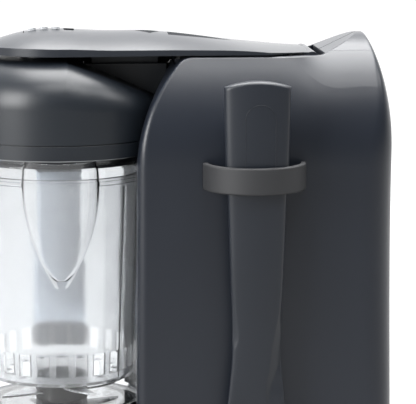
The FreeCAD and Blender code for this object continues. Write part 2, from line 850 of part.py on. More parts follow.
def arm_cover():
    hollow = arm_form(ARM_WALL, ARM_WALL)
    top = ARM_Z + 2 * ARM_CREST_H
    hollow = hollow.common(box(-LENGTH, TAIL_X, -LENGTH, LENGTH, ARM_Z, top))
    cover = arm_form(0.0, 0.0).cut(hollow)
    y0 = KNUCKLE_HALF + LOOSE_FIT
    barrel = rod_y(BARREL_R, y0, HINGE_HALF, PIN_X, PIN_Z)
    web = box(PIN_X - BARREL_R, PIN_X, y0, HINGE_HALF, PIN_Z, ARM_Z + LOOSE_FIT)
    knuckle = rod_y(BARREL_R + SEAT_FIT, -y0, y0, PIN_X, PIN_Z)
    cover = fuse(cover.cut(knuckle), barrel, web, mirror_y(barrel), mirror_y(web))
    cover = cover.cut(rod_y(PIN_R + RUN_FIT, -SPINE_HALF, SPINE_HALF, PIN_X, PIN_Z))
    slot_half = SLIDER_W / 2 + LOOSE_FIT
    x1 = SLIDER_X + SLIDER_L + LATCH_TRAVEL + SEAT_FIT
    cover = cover.cut(box(SLIDER_X - SEAT_FIT, x1, -slot_half, slot_half, ARM_Z, top))
    return cover.cut(arrow_inlay())


def arm_underplate():
    x1 = TAIL_X - LOOSE_FIT
    bounds = box(-LENGTH, x1, -LENGTH, LENGTH, ARM_Z, ARM_Z + ARM_PLATE_T)
    return arm_plan(ARM_WALL + LOOSE_FIT).common(bounds).cut(hook_slot(0.0, LENGTH))


def tank_seal():
    return tube(TANK_R + TANK_FLANGE, TANK_R, TANK_TOP_Z, ARM_Z, TANK_X)


# Latch


def latch_bar():
    """Sprung strip in the arm that carries two hooks down to the deck."""
    z0 = ARM_Z + ARM_PLATE_T + LOOSE_FIT
    z1 = z0 + LATCH_T
    half = HOOK_W / 2
    cross_x = BOWL_X + BAY_R - 2 * HOOK_W
    strip = box(SLIDER_X, cross_x, -half, half, z0, z1)
    yoke = box(cross_x, cross_x + HOOK_W, -HOOK_Y - half, HOOK_Y + half, z0, z1)
    lip_z = DECK_Z - DECK_T - LOOSE_FIT - HOOK_LIP_T
    limb = box(cross_x, HOOK_X + HOOK_T, HOOK_Y - half, HOOK_Y + half, z0, z1)
    leg = box(HOOK_X, HOOK_X + HOOK_T, HOOK_Y - half, HOOK_Y + half, lip_z, z1)
    lip_x = HOOK_X + HOOK_T + HOOK_LIP
    lip = box(HOOK_X, lip_x, HOOK_Y - half, HOOK_Y + half, lip_z, lip_z + HOOK_LIP_T)
    hook = fuse(limb, leg, lip)
    return fuse(strip, yoke, hook, mirror_y(hook))


def slider_block(z0):
    half = SLIDER_W / 2
    return box(SLIDER_X, SLIDER_X + SLIDER_L, -half, half, z0, ARM_Z + 2 * ARM_CREST_H)


def release_slider():
    z0 = ARM_Z + ARM_PLATE_T + LOOSE_FIT + LATCH_T
    return arm_crown().common(slider_block(z0))


def grip_pips():
    """Raised pips that a thumb catches, standing on the slider."""
    crown = arm_crown()
    pips = []
    for number in range(PIPS):
        x = SLIDER_X + SLIDER_L / 2 + (number - (PIPS - 1) / 2) * PIP_PITCH
        block = box(x - PIP_L / 2, x + PIP_L / 2, -PIP_W / 2, PIP_W / 2, ARM_Z, ARM_Z + 2 * ARM_CREST_H)
        raised = crown.copy()
        raised.translate(V(0, 0, PIP_H))
        upright = [edge for edge in block.Edges if edge.BoundBox.ZLength > 1]
        block = block.makeFillet(PIP_L / 2.5, upright)
        pips.append(raised.common(block).cut(crown))
    return group(pips)


# Lid


def dome_half(grow):
    """The -Y half of the solid under the lid's dome, with its surface moved out by grow.

    A drum with a level top that falls off towards the housing. Its edge is rounded over, and
    the rounding narrows along the fall.
    """
    reach = LID_R + grow
    top = DOME_TOP_Z + grow
    fall_x = BOWL_X + DOME_FLAT
    end_x = BOWL_X + reach
    low = top - DOME_FALL
    steps = [
        (fall_x, top),
        (((fall_x + end_x) / 2, (top + low) / 2 + DOME_BULGE), (end_x, low)),
        (end_x + 1, low),
        (end_x + 1, top + 1),
        (fall_x, top + 1),
    ]
    near = box(BOWL_X - reach - 1, end_x + 1, -reach - 1, 0.0, DOME_Z, top)
    drum = rod(reach, DOME_Z, top, BOWL_X).common(near)
    form = drum.cut(side_prism(steps, -reach - 1, 1.0))
    edges = []
    for edge in form.Edges:
        halfway = edge.valueAt((edge.FirstParameter + edge.LastParameter) / 2)
        outer = math.hypot(halfway.x - BOWL_X, halfway.y) > reach - 0.01
        if outer and halfway.y < -0.01 and halfway.z > DOME_Z + 1:
            edges.append(edge)

    def radius_at(point):
        share = max(point.x - fall_x, 0) / (end_x - fall_x)
        return DOME_ROUND + (DOME_ROUND_LOW - DOME_ROUND) * share + grow

    return vary_fillet(form, edges, radius_at)


def dome_solid(grow):
    half = dome_half(grow)
    return fuse(half, mirror_y(half))


def steam_inlet():
    """Upright passage from the duct into the lid."""
    return rod(STEAM_R, DOME_Z, DUCT_TOP_Z - DUCT_WALL - LOOSE_FIT, DUCT_X - INLET_IN)


def lid_dome():
    return dome_solid(0.0).cut(dome_solid(-LID_WALL)).cut(steam_inlet())


def lid_rim():
    wall_r = LID_R - LID_WALL
    steps = [
        (SKIRT_R - 2 * LID_WALL, LID_Z),
        (LID_R, LID_Z),
        (LID_R, DOME_Z - GROOVE_H),
        (LID_R - LID_WALL / 2, DOME_Z - GROOVE_H),
        (LID_R - LID_WALL / 2, DOME_Z),
        (wall_r - LID_WALL / 2, DOME_Z),
        (wall_r - LID_WALL / 2, LID_Z + LID_WALL),
        (SKIRT_R - 2 * LID_WALL, LID_Z + LID_WALL),
    ]
    return turned(steps, BOWL_X)


def lid_skirt():
    low = RIM_Z - SKIRT_DEPTH
    steps = [
        (SKIRT_R - SKIRT_TAPER - LID_WALL, low),
        (SKIRT_R - SKIRT_TAPER, low),
        (SKIRT_R, LID_Z),
        (SKIRT_R - LID_WALL, LID_Z),
    ]
    return turned(steps, BOWL_X)


def lid_seal():
    inner = BOWL_TOP_R - BOWL_WALL + SEAT_FIT
    return tube(BOWL_RIM_R - SEAT_FIT, inner, RIM_Z, LID_Z, BOWL_X)


def lid_carrier():
    return rod(CARRIER_R, DOME_TOP_Z, ARM_Z, BOWL_X - CARRIER_OUT)


def steam_duct():
    x0 = DUCT_X - DUCT_LENGTH
    low = DUCT_TOP_Z - DUCT_H
    wall = DUCT_WALL
    block = box(x0, DUCT_X, -DUCT_HALF, DUCT_HALF, low, DUCT_TOP_Z)
    neck_in = DUCT_HALF - DUCT_NECK_HALF
    neck = box(x0 + neck_in, DUCT_X - neck_in, -DUCT_NECK_HALF, DUCT_NECK_HALF, DUCT_TOP_Z, ARM_Z)
    half = DUCT_HALF - wall
    cavity = box(x0 + wall, DUCT_X - wall, -half, half, low + wall, DUCT_TOP_Z - wall)
    cavity = cavity.cut(dome_solid(LOOSE_FIT + wall))
    duct = fuse(block, neck).cut(cavity).cut(dome_solid(LOOSE_FIT)).cut(steam_inlet())
    return duct.cut(rod_x(STEAM_BORE_R, DUCT_X - 2 * wall, DUCT_X + 1, 0.0, STEAM_Z))


def duct_seal():
    x1 = DUCT_X + LID_SEAL_T
    return rod_x(2 * STEAM_R, DUCT_X, x1, 0.0, STEAM_Z).cut(rod_x(STEAM_BORE_R, DUCT_X, x1, 0.0, STEAM_Z))


# Bowl


def bowl_outer(grow):
    low = RECESS_Z + BOWL_CORNER_H
    bend_r = BOWL_FOOT_R + BOWL_BEND_OUT * (BOWL_LOW_R - BOWL_FOOT_R)
    bend_z = FLOOR_LOW_Z + BOWL_BEND_UP * (low - FLOOR_LOW_Z)
    ring = BOWL_FOOT_R - BOWL_FOOT_RING
    steps = [
        (0.0, FLOOR_LOW_Z),
        (ring, FLOOR_LOW_Z),
        (ring, RECESS_Z),
        (BOWL_FOOT_R + grow, RECESS_Z),
        (BOWL_FOOT_R + grow, FLOOR_LOW_Z),
        ((bend_r + grow, bend_z), (BOWL_LOW_R + grow, low)),
        (BOWL_TOP_R + grow, RIM_Z - BOWL_RIM_H),
        (BOWL_RIM_R + grow, RIM_Z - BOWL_RIM_H / 2),
        (BOWL_RIM_R + grow, RIM_Z),
        (0.0, RIM_Z),
    ]
    return turned(steps, BOWL_X)


def bowl_inner():
    low = RECESS_Z + BOWL_CORNER_H
    foot = BOWL_FOOT_R - BOWL_WALL
    side = BOWL_LOW_R - BOWL_WALL
    bend_r = foot + BOWL_BEND_OUT * (side - foot)
    bend_z = FLOOR_Z + BOWL_BEND_UP * (low - FLOOR_Z)
    steps = [
        (0.0, FLOOR_Z),
        (foot, FLOOR_Z),
        ((bend_r, bend_z), (side, low)),
        (BOWL_TOP_R - BOWL_WALL, RIM_Z - BOWL_RIM_H),
        (BOWL_TOP_R - BOWL_WALL, RIM_Z + 1),
        (0.0, RIM_Z + 1),
    ]
    return turned(steps, BOWL_X)


def spout_form(inset):
    """Tapering half funnel on the -Y side, moved in by a wall."""
    tip_z = RIM_Z - SPOUT_TIP_DROP
    above = SPOUT_WALL if inset else 0.0
    stations = (
        (tip_z + 2 * inset, SPOUT_TIP_R, 0.0),
        (tip_z + 0.23 * SPOUT_TIP_DROP, SPOUT_LOW_R, 0.25),
        (tip_z + 0.47 * SPOUT_TIP_DROP, SPOUT_MID_R, 0.55),
        (RIM_Z + above, SPOUT_TOP_R, 1.0),
    )
    wires = []
    for z, radius, reach in stations:
        front = BOWL_TOP_R + reach * SPOUT_REACH
        circle = Part.makeCircle(radius - inset, V(BOWL_X, radius - front, z))
        wires.append(Part.Wire(circle))
    return Part.makeLoft(wires, True, False)


def bowl():
    body = fuse(bowl_outer(0.0), spout_form(0.0))
    body = body.cut(bowl_inner()).cut(spout_form(SPOUT_WALL))
    ledge = tube(BOWL_TOP_R - BOWL_WALL / 2, LEDGE_R, LEDGE_Z - LEDGE_H, LEDGE_Z, BOWL_X)
    body = fuse(body, ledge.cut(spout_form(SPOUT_WALL)))
    return body.cut(rod(BUSH_R, 0.0, FLOOR_Z + 1, BOWL_X))


def bowl_handle():
    inside = BOWL_LOW_R - HANDLE_BAR
    outside = BOWL_TOP_R + HANDLE_GAP + HANDLE_GRIP_T
    top = RIM_Z - HANDLE_TOP_DROP
    low = top - HANDLE_H
    big = HANDLE_CORNER_R
    small = HANDLE_CORNER_R - HANDLE_GRIP_T / 2
    grip = outside - HANDLE_GRIP_T

    def loop_steps(y0, y1, z0, z1, radius):
        return [
            (y0, z0),
            (y1 - radius, z0),
            corner(y1 - radius, z0 + radius, radius, -90, 90),
            (y1, z1 - radius),
            corner(y1 - radius, z1 - radius, radius, 0, 90),
            (y0, z1),
        ]

    solid = outline("yz", loop_steps(inside, outside, low, top, big)).extrude(V(HANDLE_W, 0, 0))
    gap_steps = loop_steps(inside - 1, grip, low + HANDLE_BAR, top - HANDLE_BAR, small)
    solid = solid.cut(outline("yz", gap_steps).extrude(V(HANDLE_W, 0, 0)))
    rims = []
    for edge in solid.Edges:
        bounds = edge.BoundBox
        if bounds.XLength < 0.01 and bounds.YMax > inside + 1:
            rims.append(edge)
    solid = solid.makeFillet(HANDLE_ROUND, rims)
    solid.translate(V(BOWL_X - HANDLE_W / 2, 0, 0))
    return solid.cut(bowl_outer(RUN_FIT))


def basket_steps(low_r, top_r, low, top):
    return [(0.0, low), (low_r, low), (top_r, top), (0.0, top)]


def steam_basket():
    wall = BASKET_WALL
    top_r = LEDGE_R - SEAT_FIT
    top = LEDGE_Z + wall
    body = turned(basket_steps(BASKET_LOW_R, top_r, BASKET_Z, top), BOWL_X)
    rib_r = BASKET_LOW_R + top_r
    rib = box(BOWL_X, BOWL_X + rib_r, -BASKET_RIB_W / 2, BASKET_RIB_W / 2, BASKET_Z, LEDGE_Z - 2 * LEDGE_H)
    rib = turn_about(rib, BOWL_X, BASKET_RIB_BEARING)
    proud = turned(basket_steps(BASKET_LOW_R + wall / 2, top_r + wall / 2, BASKET_Z, top), BOWL_X)
    flange = tube(BOWL_TOP_R - BOWL_WALL - 3 * LOOSE_FIT, top_r - wall, LEDGE_Z, top, BOWL_X)
    body = fuse(body, rib.common(proud), flange)
    hollow = basket_steps(BASKET_LOW_R - wall, top_r - wall, BASKET_Z + wall, top + 1)
    body = body.cut(turned(hollow, BOWL_X))
    slot_z = BASKET_Z + BASKET_SLOT_LIFT
    slots = []
    for number in range(BASKET_SLOTS):
        x0 = BOWL_X + BASKET_LOW_R - 4 * wall
        half = BASKET_SLOT_W / 2
        slot = box(x0, x0 + 12 * wall, -half, half, slot_z, slot_z + BASKET_SLOT_H)
        slots.append(turn_about(slot, BOWL_X, 360.0 * number / BASKET_SLOTS))
    for number in range(BASKET_HOLES):
        hole = rod(BASKET_HOLE_R, BASKET_Z - 1, BASKET_Z + 2 * wall, BOWL_X + BASKET_HOLE_RING_R)
        slots.append(turn_about(hole, BOWL_X, 360.0 * number / BASKET_HOLES))
    return body.cut(Part.makeCompound(slots))


# Blade and its drive


def knife(z, bearing):
    """Two swept arms cut from one strip."""
    half = KNIFE_W / 2
    steps = [
        (-half, -half),
        (half, -half),
        ((KNIFE_R * 0.55, -half * 1.1), (KNIFE_R, half * 0.5)),
        ((KNIFE_R * 0.55, half * 0.8), (half, half)),
        (-half, half),
    ]
    arm = plan_prism(steps, z, z + KNIFE_T)
    arm.translate(V(BOWL_X, 0, 0))
    pair = fuse(arm, turn_about(arm, BOWL_X, 180.0))
    pair = turn_about(pair, BOWL_X, bearing)
    return pair.cut(rod(BLADE_SHAFT_R, 0.0, RIM_Z, BOWL_X))


def blade_knives():
    lower = knife(HUB_Z + KNIFE_LOW_RISE, KNIFE_BEARING)
    return group([lower, knife(HUB_Z + KNIFE_TOP_RISE, KNIFE_BEARING + 90)])


def blade_hub():
    hub = rod(HUB_R, HUB_Z, HUB_Z + HUB_H, BOWL_X)
    rim = [edge for edge in hub.Edges if edge.BoundBox.ZMin > HUB_Z + HUB_H - 0.01]
    hub = hub.makeFillet(HUB_R / 6, rim)
    hub = hub.cut(rod(BLADE_SHAFT_R, 0.0, HUB_Z + HUB_H - 2 * KNIFE_T, BOWL_X))
    return hub.cut(blade_knives())


def hexagon(across_radius, z0, z1):
    steps = []
    for number in range(6):
        angle = math.radians(60 * number)
        steps.append((BOWL_X + across_radius * math.cos(angle), across_radius * math.sin(angle)))
    return plan_prism(steps, z0, z1)


def blade_shaft():
    return rod(BLADE_SHAFT_R, FLOOR_LOW_Z - COUPLING_T, HUB_Z + HUB_H - 2 * KNIFE_T, BOWL_X)


def blade_bush():
    return tube(BUSH_R, BLADE_SHAFT_R + RUN_FIT, FLOOR_LOW_Z, FLOOR_Z, BOWL_X)


def shaft_seal():
    return tube(BUSH_R + SHAFT_SEAL_LIP, BLADE_SHAFT_R + LOOSE_FIT, FLOOR_Z, HUB_Z - LOOSE_FIT, BOWL_X)


def bowl_coupling():
    z1 = FLOOR_LOW_Z - LOOSE_FIT
    body = rod(COUPLING_R, DOG_Z, z1, BOWL_X)
    body = body.cut(hexagon(DOG_R + LOOSE_FIT, DOG_Z - 1, FLOOR_LOW_Z - COUPLING_T))
    return body.cut(rod(BLADE_SHAFT_R, 0.0, RIM_Z, BOWL_X))


def drive_dog():
    dog = hexagon(DOG_R, DOG_Z, FLOOR_LOW_Z - COUPLING_T - SEAT_FIT)
    return dog.cut(rod(DRIVE_SHAFT_R, 0.0, FLOOR_LOW_Z, BOWL_X))


def drive_shaft():
    return rod(DRIVE_SHAFT_R, PULLEY_Z - LOWER_BUSH_H, FLOOR_LOW_Z - COUPLING_T - SEAT_FIT, BOWL_X)


def drive_bushes():
    bore = DRIVE_SHAFT_R + RUN_FIT
    low = BASE_Z + BOTTOM_T
    lower = tube(DRIVE_BUSH_R, bore, low, low + LOWER_BUSH_H, BOWL_X)
    upper = tube(DRIVE_BUSH_R, bore, RECESS_Z - BASE_WALL, RECESS_Z, BOWL_X)
    return group([lower, upper])


def pulley(radius, bore, x):
    z0 = PULLEY_Z
    z1 = PULLEY_Z + PULLEY_H
    rim = radius + PULLEY_FLANGE
    lip = PULLEY_FLANGE_T
    steps = [
        (bore, z0),
        (rim, z0),
        (rim, z0 + lip),
        (radius, z0 + lip),
        (radius, z1 - lip),
        (rim, z1 - lip),
        (rim, z1),
        (bore, z1),
    ]
    return turned(steps, x)


def driven_pulley():
    return pulley(DRIVEN_PULLEY_R, DRIVE_SHAFT_R, BOWL_X)


def motor_pulley():
    return pulley(MOTOR_PULLEY_R, MOTOR_SHAFT_R, MOTOR_X)


def belt_loop(grow):
    """Outline of a belt drawn tight round both pulleys, moved out by grow."""
    left = DRIVEN_PULLEY_R + grow
    right = MOTOR_PULLEY_R + grow
    slope = math.acos((left - right) / (MOTOR_X - BOWL_X))
    across = math.cos(slope)
    up = math.sin(slope)
    steps = [
        (BOWL_X + left * across, -left * up),
        (MOTOR_X + right * across, -right * up),
        ((MOTOR_X + right, 0.0), (MOTOR_X + right * across, right * up)),
        (BOWL_X + left * across, left * up),
        ((BOWL_X - left, 0.0), (BOWL_X + left * across, -left * up)),
    ]
    z0 = PULLEY_Z + PULLEY_FLANGE_T + BELT_FIT
    return plan_prism(steps, z0, PULLEY_Z + PULLEY_H - PULLEY_FLANGE_T - BELT_FIT)


def drive_belt():
    return belt_loop(BELT_FIT + BELT_T).cut(belt_loop(BELT_FIT))


# Motor


def motor_screw_places():
    reach = MOTOR_PLATE_HALF - 2 * POST_R
    return [(MOTOR_X + sx * reach, sy * reach) for sx in (-1, 1) for sy in (-1, 1)]


def motor_plate():
    half = MOTOR_PLATE_HALF
    plate = box(MOTOR_X - half, MOTOR_X + half, -half, half, BASE_TOP_Z, MOTOR_Z)
    plate = plate.cut(rod(2 * MOTOR_SHAFT_R, 0.0, MOTOR_Z + 1, MOTOR_X))
    for x, y in motor_screw_places():
        plate = plate.cut(rod(SCREW_R, 0.0, MOTOR_Z + 1, x, y))
    return plate


def motor_screws():
    screws = []
    for x, y in motor_screw_places():
        head = rod(SCREW_HEAD_R, MOTOR_Z, MOTOR_Z + SCREW_HEAD_H, x, y)
        screws.append(fuse(head, rod(SCREW_R, BASE_TOP_Z - BASE_WALL, MOTOR_Z, x, y)))
    return group(screws)


def motor_end_bells():
    bells = []
    for z in (MOTOR_Z, MOTOR_Z + BELL_H + MOTOR_H):
        bells.append(tube(MOTOR_R, 2 * MOTOR_SHAFT_R, z, z + BELL_H, MOTOR_X))
    return group(bells)


def motor_bearings():
    rings = []
    for z in (MOTOR_Z, MOTOR_Z + BELL_H + MOTOR_H):
        inner = MOTOR_SHAFT_R + RUN_FIT
        rings.append(tube(2 * MOTOR_SHAFT_R, inner, z + 1, z + BELL_H - 1, MOTOR_X))
    return group(rings)


def motor_stator():
    z0 = MOTOR_Z + BELL_H
    return tube(MOTOR_R, MOTOR_R - MOTOR_WALL, z0, z0 + MOTOR_H, MOTOR_X)


def motor_rotor():
    z0 = MOTOR_Z + BELL_H + SEAT_FIT
    z1 = MOTOR_Z + BELL_H + MOTOR_H - SEAT_FIT
    return tube(MOTOR_R - MOTOR_WALL - ROTOR_GAP, MOTOR_SHAFT_R, z0, z1, MOTOR_X)


def motor_shaft():
    return rod(MOTOR_SHAFT_R, PULLEY_Z, FAN_Z + FAN_H, MOTOR_X)


def motor_fan():
    hub_r = 2 * MOTOR_SHAFT_R
    hub = rod(hub_r, FAN_Z, FAN_Z + FAN_H, MOTOR_X)
    disc = rod(FAN_R, FAN_Z, FAN_Z + KNIFE_T, MOTOR_X)
    blades = []
    for number in range(FAN_BLADES):
        x0 = MOTOR_X + hub_r - 1
        blade = box(x0, MOTOR_X + FAN_R, -KNIFE_T / 2, KNIFE_T / 2, FAN_Z, FAN_Z + FAN_H)
        blades.append(turn_about(blade, MOTOR_X, 360.0 * number / FAN_BLADES))
    return fuse(hub, disc, *blades).cut(rod(MOTOR_SHAFT_R, 0.0, LENGTH, MOTOR_X))


# Steam generator


def heating_tank():
    low = TANK_TOP_Z - TANK_DEPTH
    shell = fuse(
        rod(TANK_R + TANK_WALL, low, TANK_TOP_Z, TANK_X),
        rod(TANK_R + TANK_FLANGE, DECK_Z, TANK_TOP_Z, TANK_X),
    )
    shell = shell.cut(rod(TANK_R, low + TANK_WALL, TANK_TOP_Z + 1, TANK_X))
    return shell.cut(rod_x(STEAM_BORE_R, BOWL_X, TANK_X, 0.0, STEAM_Z))


def heater_plate():
    return rod(TANK_R, HEATER_Z, TANK_TOP_Z - TANK_DEPTH, TANK_X)


def thermostats():
    bodies = []
    for side in (-1, 1):
        y = side * TANK_R / 2
        bodies.append(rod(THERMOSTAT_R, HEATER_Z - THERMOSTAT_H, HEATER_Z, TANK_X, y))
    return group(bodies)


def steam_outlet():
    x0 = DUCT_X + LID_SEAL_T
    pipe = rod_x(STEAM_R, x0, TANK_X, 0.0, STEAM_Z).cut(rod_x(STEAM_BORE_R, x0, TANK_X, 0.0, STEAM_Z))
    return pipe.cut(rod(TANK_R + TANK_WALL, 0.0, LENGTH, TANK_X))


# Controls and mains entry


def knob():
    y0 = TOWER_HALF + DIAL_T + LOOSE_FIT
    y1 = y0 + KNOB_H
    body = rod_y(KNOB_R, y0, y1, KNOB_X, KNOB_Z)
    crown = [edge for edge in body.Edges if edge.BoundBox.YMin > y1 - 0.01]
    body = body.makeFillet(KNOB_H / 6, crown)
    flutes = []
    for number in range(KNOB_FLUTES):
        angle = 2 * math.pi * number / KNOB_FLUTES
        x = KNOB_X + KNOB_R * math.cos(angle)
        z = KNOB_Z + KNOB_R * math.sin(angle)
        flutes.append(rod_y(KNOB_FLUTE_R, y0 + KNOB_H / 4, y1 + 1, x, z))
    body = body.cut(Part.makeCompound(flutes))
    half = KNOB_MARK_W / 2
    mark = box(KNOB_X - half, KNOB_X + half, y1 - half, y1 + 1, KNOB_Z + KNOB_R / 3, KNOB_Z + KNOB_R * 0.8)
    stem = rod_y(KNOB_STEM_R, TOWER_HALF - SHELL_WALL - SWITCH_D / 2, y0 + 1, KNOB_X, KNOB_Z)
    return fuse(body.cut(mark), stem)


def dial_plate():
    y1 = TOWER_HALF + DIAL_T
    plate = rod_y(DIAL_R, TOWER_HALF, y1, KNOB_X, KNOB_Z)
    plate = plate.cut(rod_y(KNOB_STEM_R + LOOSE_FIT, TOWER_HALF - 1, y1 + 1, KNOB_X, KNOB_Z))
    ticks = []
    half = TICK_W / 2
    z0 = KNOB_Z + (KNOB_R + DIAL_R - TICK_L) / 2
    for bearing in (-KNOB_SWEEP, -KNOB_SWEEP / 2, 0, KNOB_SWEEP / 2, KNOB_SWEEP):
        tick = box(KNOB_X - half, KNOB_X + half, y1 - DIAL_T / 2, y1 + 1, z0, z0 + TICK_L)
        tick.rotate(V(KNOB_X, 0, KNOB_Z), V(0, 1, 0), bearing)
        ticks.append(tick)
    return plate.cut(Part.makeCompound(ticks))


def rotary_switch():
    y1 = TOWER_HALF - SHELL_WALL
    half = SWITCH_HALF
    body = box(KNOB_X - half, KNOB_X + half, y1 - SWITCH_D, y1, KNOB_Z - half, KNOB_Z + half)
    return body.cut(rod_y(KNOB_STEM_R + RUN_FIT, y1 - SWITCH_D / 2 - SEAT_FIT, y1 + 1, KNOB_X, KNOB_Z))


def control_board():
    y1 = TOWER_HALF - SHELL_WALL - SWITCH_D
    z0 = KNOB_Z - 1.5 * SWITCH_HALF
    half = BOARD_L / 2
    return box(KNOB_X - half, KNOB_X + half, y1 - BOARD_T, y1, z0, z0 + BOARD_H)


def indicator_lens():
    z = KNOB_Z + LENS_RISE
    inner = TOWER_HALF - SHELL_WALL
    lens = rod_y(LENS_R, inner - LENS_R, TOWER_HALF + DIAL_T, KNOB_X, z)
    return fuse(lens, rod_y(1.5 * LENS_R, inner - LENS_R / 2, inner, KNOB_X, z))


def cord_gland():
    x1 = TOWER_RIGHT - TOWER_DRAFT
    x0 = x1 - GLAND_LENGTH
    body = rod_x(GLAND_R, x0, x1, 0.0, GLAND_Z)
    collar = rod_x(GLAND_R + GLAND_COLLAR, x0, x0 + GLAND_LENGTH / 2, 0.0, GLAND_Z)
    return fuse(body, collar).cut(rod_x(GLAND_BORE_R, x0 - 1, x1 + 1, 0.0, GLAND_Z))


# Spatula and its loop


def slab_wire(z, width, thick, back):
    """Level section of the spatula: flat back, rounded edges and a crowned front."""
    half = width / 2
    inner = half - thick * SPATULA_EDGE
    front = back - thick + thick * SPATULA_CROWN
    middle = (back + front) / 2
    left = [V(SPATULA_X - inner, front, z), V(SPATULA_X - half, middle, z), V(SPATULA_X - inner, back, z)]
    right = [V(SPATULA_X + inner, back, z), V(SPATULA_X + half, middle, z), V(SPATULA_X + inner, front, z)]
    edges = [
        Part.Arc(right[2], V(SPATULA_X, back - thick, z), left[0]).toShape(),
        Part.Arc(*left).toShape(),
        Part.LineSegment(left[2], right[0]).toShape(),
        Part.Arc(*right).toShape(),
    ]
    return Part.Wire(edges)


def spatula():
    """Scraper: a broad crowned handle, a narrow neck and a thin flared blade."""
    top = TOWER_TOP_Z - SPATULA_TOP_DROP
    low = top - SPATULA_LENGTH
    back = -(TOWER_HALF + LOOP_REACH - LOOP_T - SPATULA_GAP - SPATULA_T)
    stations = (
        (0.0, SPATULA_TIP_W, SPATULA_TIP_T),
        (0.1, SPATULA_BLADE_W, (SPATULA_TIP_T + SPATULA_WAIST_T) / 2),
        (0.27, SPATULA_WAIST_W, SPATULA_WAIST_T),
        (0.77, SPATULA_GRIP_W, SPATULA_T),
        (1.0, SPATULA_TOP_W, SPATULA_T),
    )
    wires = []
    for rise, width, thick in stations:
        wires.append(slab_wire(low + rise * SPATULA_LENGTH, width, thick, back))
    body = Part.makeLoft(wires, True, False)
    tip_w = SPATULA_TIP_W
    top_w = SPATULA_TOP_W
    half = max(tip_w, top_w)
    crown_z = top - top_w / SPATULA_TOP_BOW
    tip_z = low + tip_w / SPATULA_TIP_BOW
    steps = [
        (SPATULA_X - half, crown_z),
        (SPATULA_X - top_w / 2, crown_z),
        ((SPATULA_X, top), (SPATULA_X + top_w / 2, crown_z)),
        (SPATULA_X + half, crown_z),
        (SPATULA_X + half, tip_z),
        (SPATULA_X + tip_w / 2, tip_z),
        ((SPATULA_X, low), (SPATULA_X - tip_w / 2, tip_z)),
        (SPATULA_X - half, tip_z),
    ]
    return body.common(side_prism(steps, -LENGTH, 0.0))


def loop_half(across, reach):
    """Half ellipse that stands out from the housing's back face."""
    ellipse = Part.Ellipse(V(SPATULA_X, -TOWER_HALF, 0), across, reach)
    arc = Part.ArcOfEllipse(ellipse, math.pi, 2 * math.pi).toShape()
    ends = [V(SPATULA_X + across, -TOWER_HALF, 0), V(SPATULA_X - across, -TOWER_HALF, 0)]
    half = Part.Face(Part.Wire([arc, Part.LineSegment(*ends).toShape()])).extrude(V(0, 0, LOOP_H))
    half.translate(V(0, 0, TOWER_TOP_Z - LOOP_TOP_DROP - LOOP_H))
    return half


def spatula_loop():
    outer = loop_half(LOOP_W / 2, LOOP_REACH)
    rims = []
    for edge in outer.Edges:
        if edge.BoundBox.ZLength < 0.01 and edge.BoundBox.YLength > 1:
            rims.append(edge)
    band = outer.makeFillet(LOOP_T / 2.5, rims).cut(loop_half(LOOP_W / 2 - LOOP_T, LOOP_REACH - LOOP_T))
    z1 = TOWER_TOP_Z - LOOP_TOP_DROP
    feet_x = (SPATULA_X - LOOP_W / 2, SPATULA_X + LOOP_W / 2 - LOOP_T)
    tabs = []
    for x in feet_x:
        tabs.append(box(x, x + LOOP_T, -TOWER_HALF, -TOWER_HALF + LOOP_SEAT, z1 - LOOP_H, z1))
    return fuse(band, *tabs)


NODES = (
    base_casing, bottom_plate, base_screws, feet,
    back_shell, front_shell, end_spine, bay_wall, top_deck, hinge_bracket, hinge_pin,
    arm_cover, arm_underplate, arrow_inlay, tank_seal, latch_bar, release_slider, grip_pips,
    lid_dome, lid_rim, lid_skirt, lid_seal, lid_carrier, steam_duct, duct_seal,
    bowl, bowl_handle, steam_basket,
    blade_knives, blade_hub, blade_shaft, blade_bush, shaft_seal, bowl_coupling,
    drive_dog, drive_shaft, drive_bushes, driven_pulley, drive_belt,
    motor_pulley, motor_plate, motor_screws, motor_end_bells, motor_bearings,
    motor_stator, motor_rotor, motor_shaft, motor_fan,
    heating_tank, heater_plate, thermostats, steam_outlet,
    knob, dial_plate, rotary_switch, control_board, indicator_lens, cord_gland,
    spatula, spatula_loop,
)


def main():
    os.makedirs("parts", exist_ok=True)
    for make in NODES:
        shape = make()
        if not shape.isValid():
            raise ValueError(make.__name__ + " is not a valid solid")
        print(make.__name__, len(shape.Solids), round(shape.Volume))
        shape.exportStep("parts/" + make.__name__ + ".step")


main()
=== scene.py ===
import json
import math

import bmesh
import bpy
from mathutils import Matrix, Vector


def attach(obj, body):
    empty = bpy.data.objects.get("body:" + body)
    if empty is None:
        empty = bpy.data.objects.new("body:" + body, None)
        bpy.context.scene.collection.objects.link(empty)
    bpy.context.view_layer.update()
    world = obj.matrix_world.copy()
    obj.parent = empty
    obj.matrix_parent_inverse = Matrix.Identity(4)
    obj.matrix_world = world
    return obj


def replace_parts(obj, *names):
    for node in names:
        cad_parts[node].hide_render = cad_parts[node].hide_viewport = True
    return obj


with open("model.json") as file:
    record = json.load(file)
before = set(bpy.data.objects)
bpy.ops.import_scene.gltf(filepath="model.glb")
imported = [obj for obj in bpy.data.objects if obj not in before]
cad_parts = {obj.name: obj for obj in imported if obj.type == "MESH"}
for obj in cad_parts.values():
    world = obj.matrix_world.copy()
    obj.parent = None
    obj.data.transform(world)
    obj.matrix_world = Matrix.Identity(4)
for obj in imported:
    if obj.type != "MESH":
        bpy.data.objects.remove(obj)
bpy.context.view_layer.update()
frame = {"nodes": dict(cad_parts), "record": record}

NODES = frame["nodes"]
MM_PER_M = 1000.0

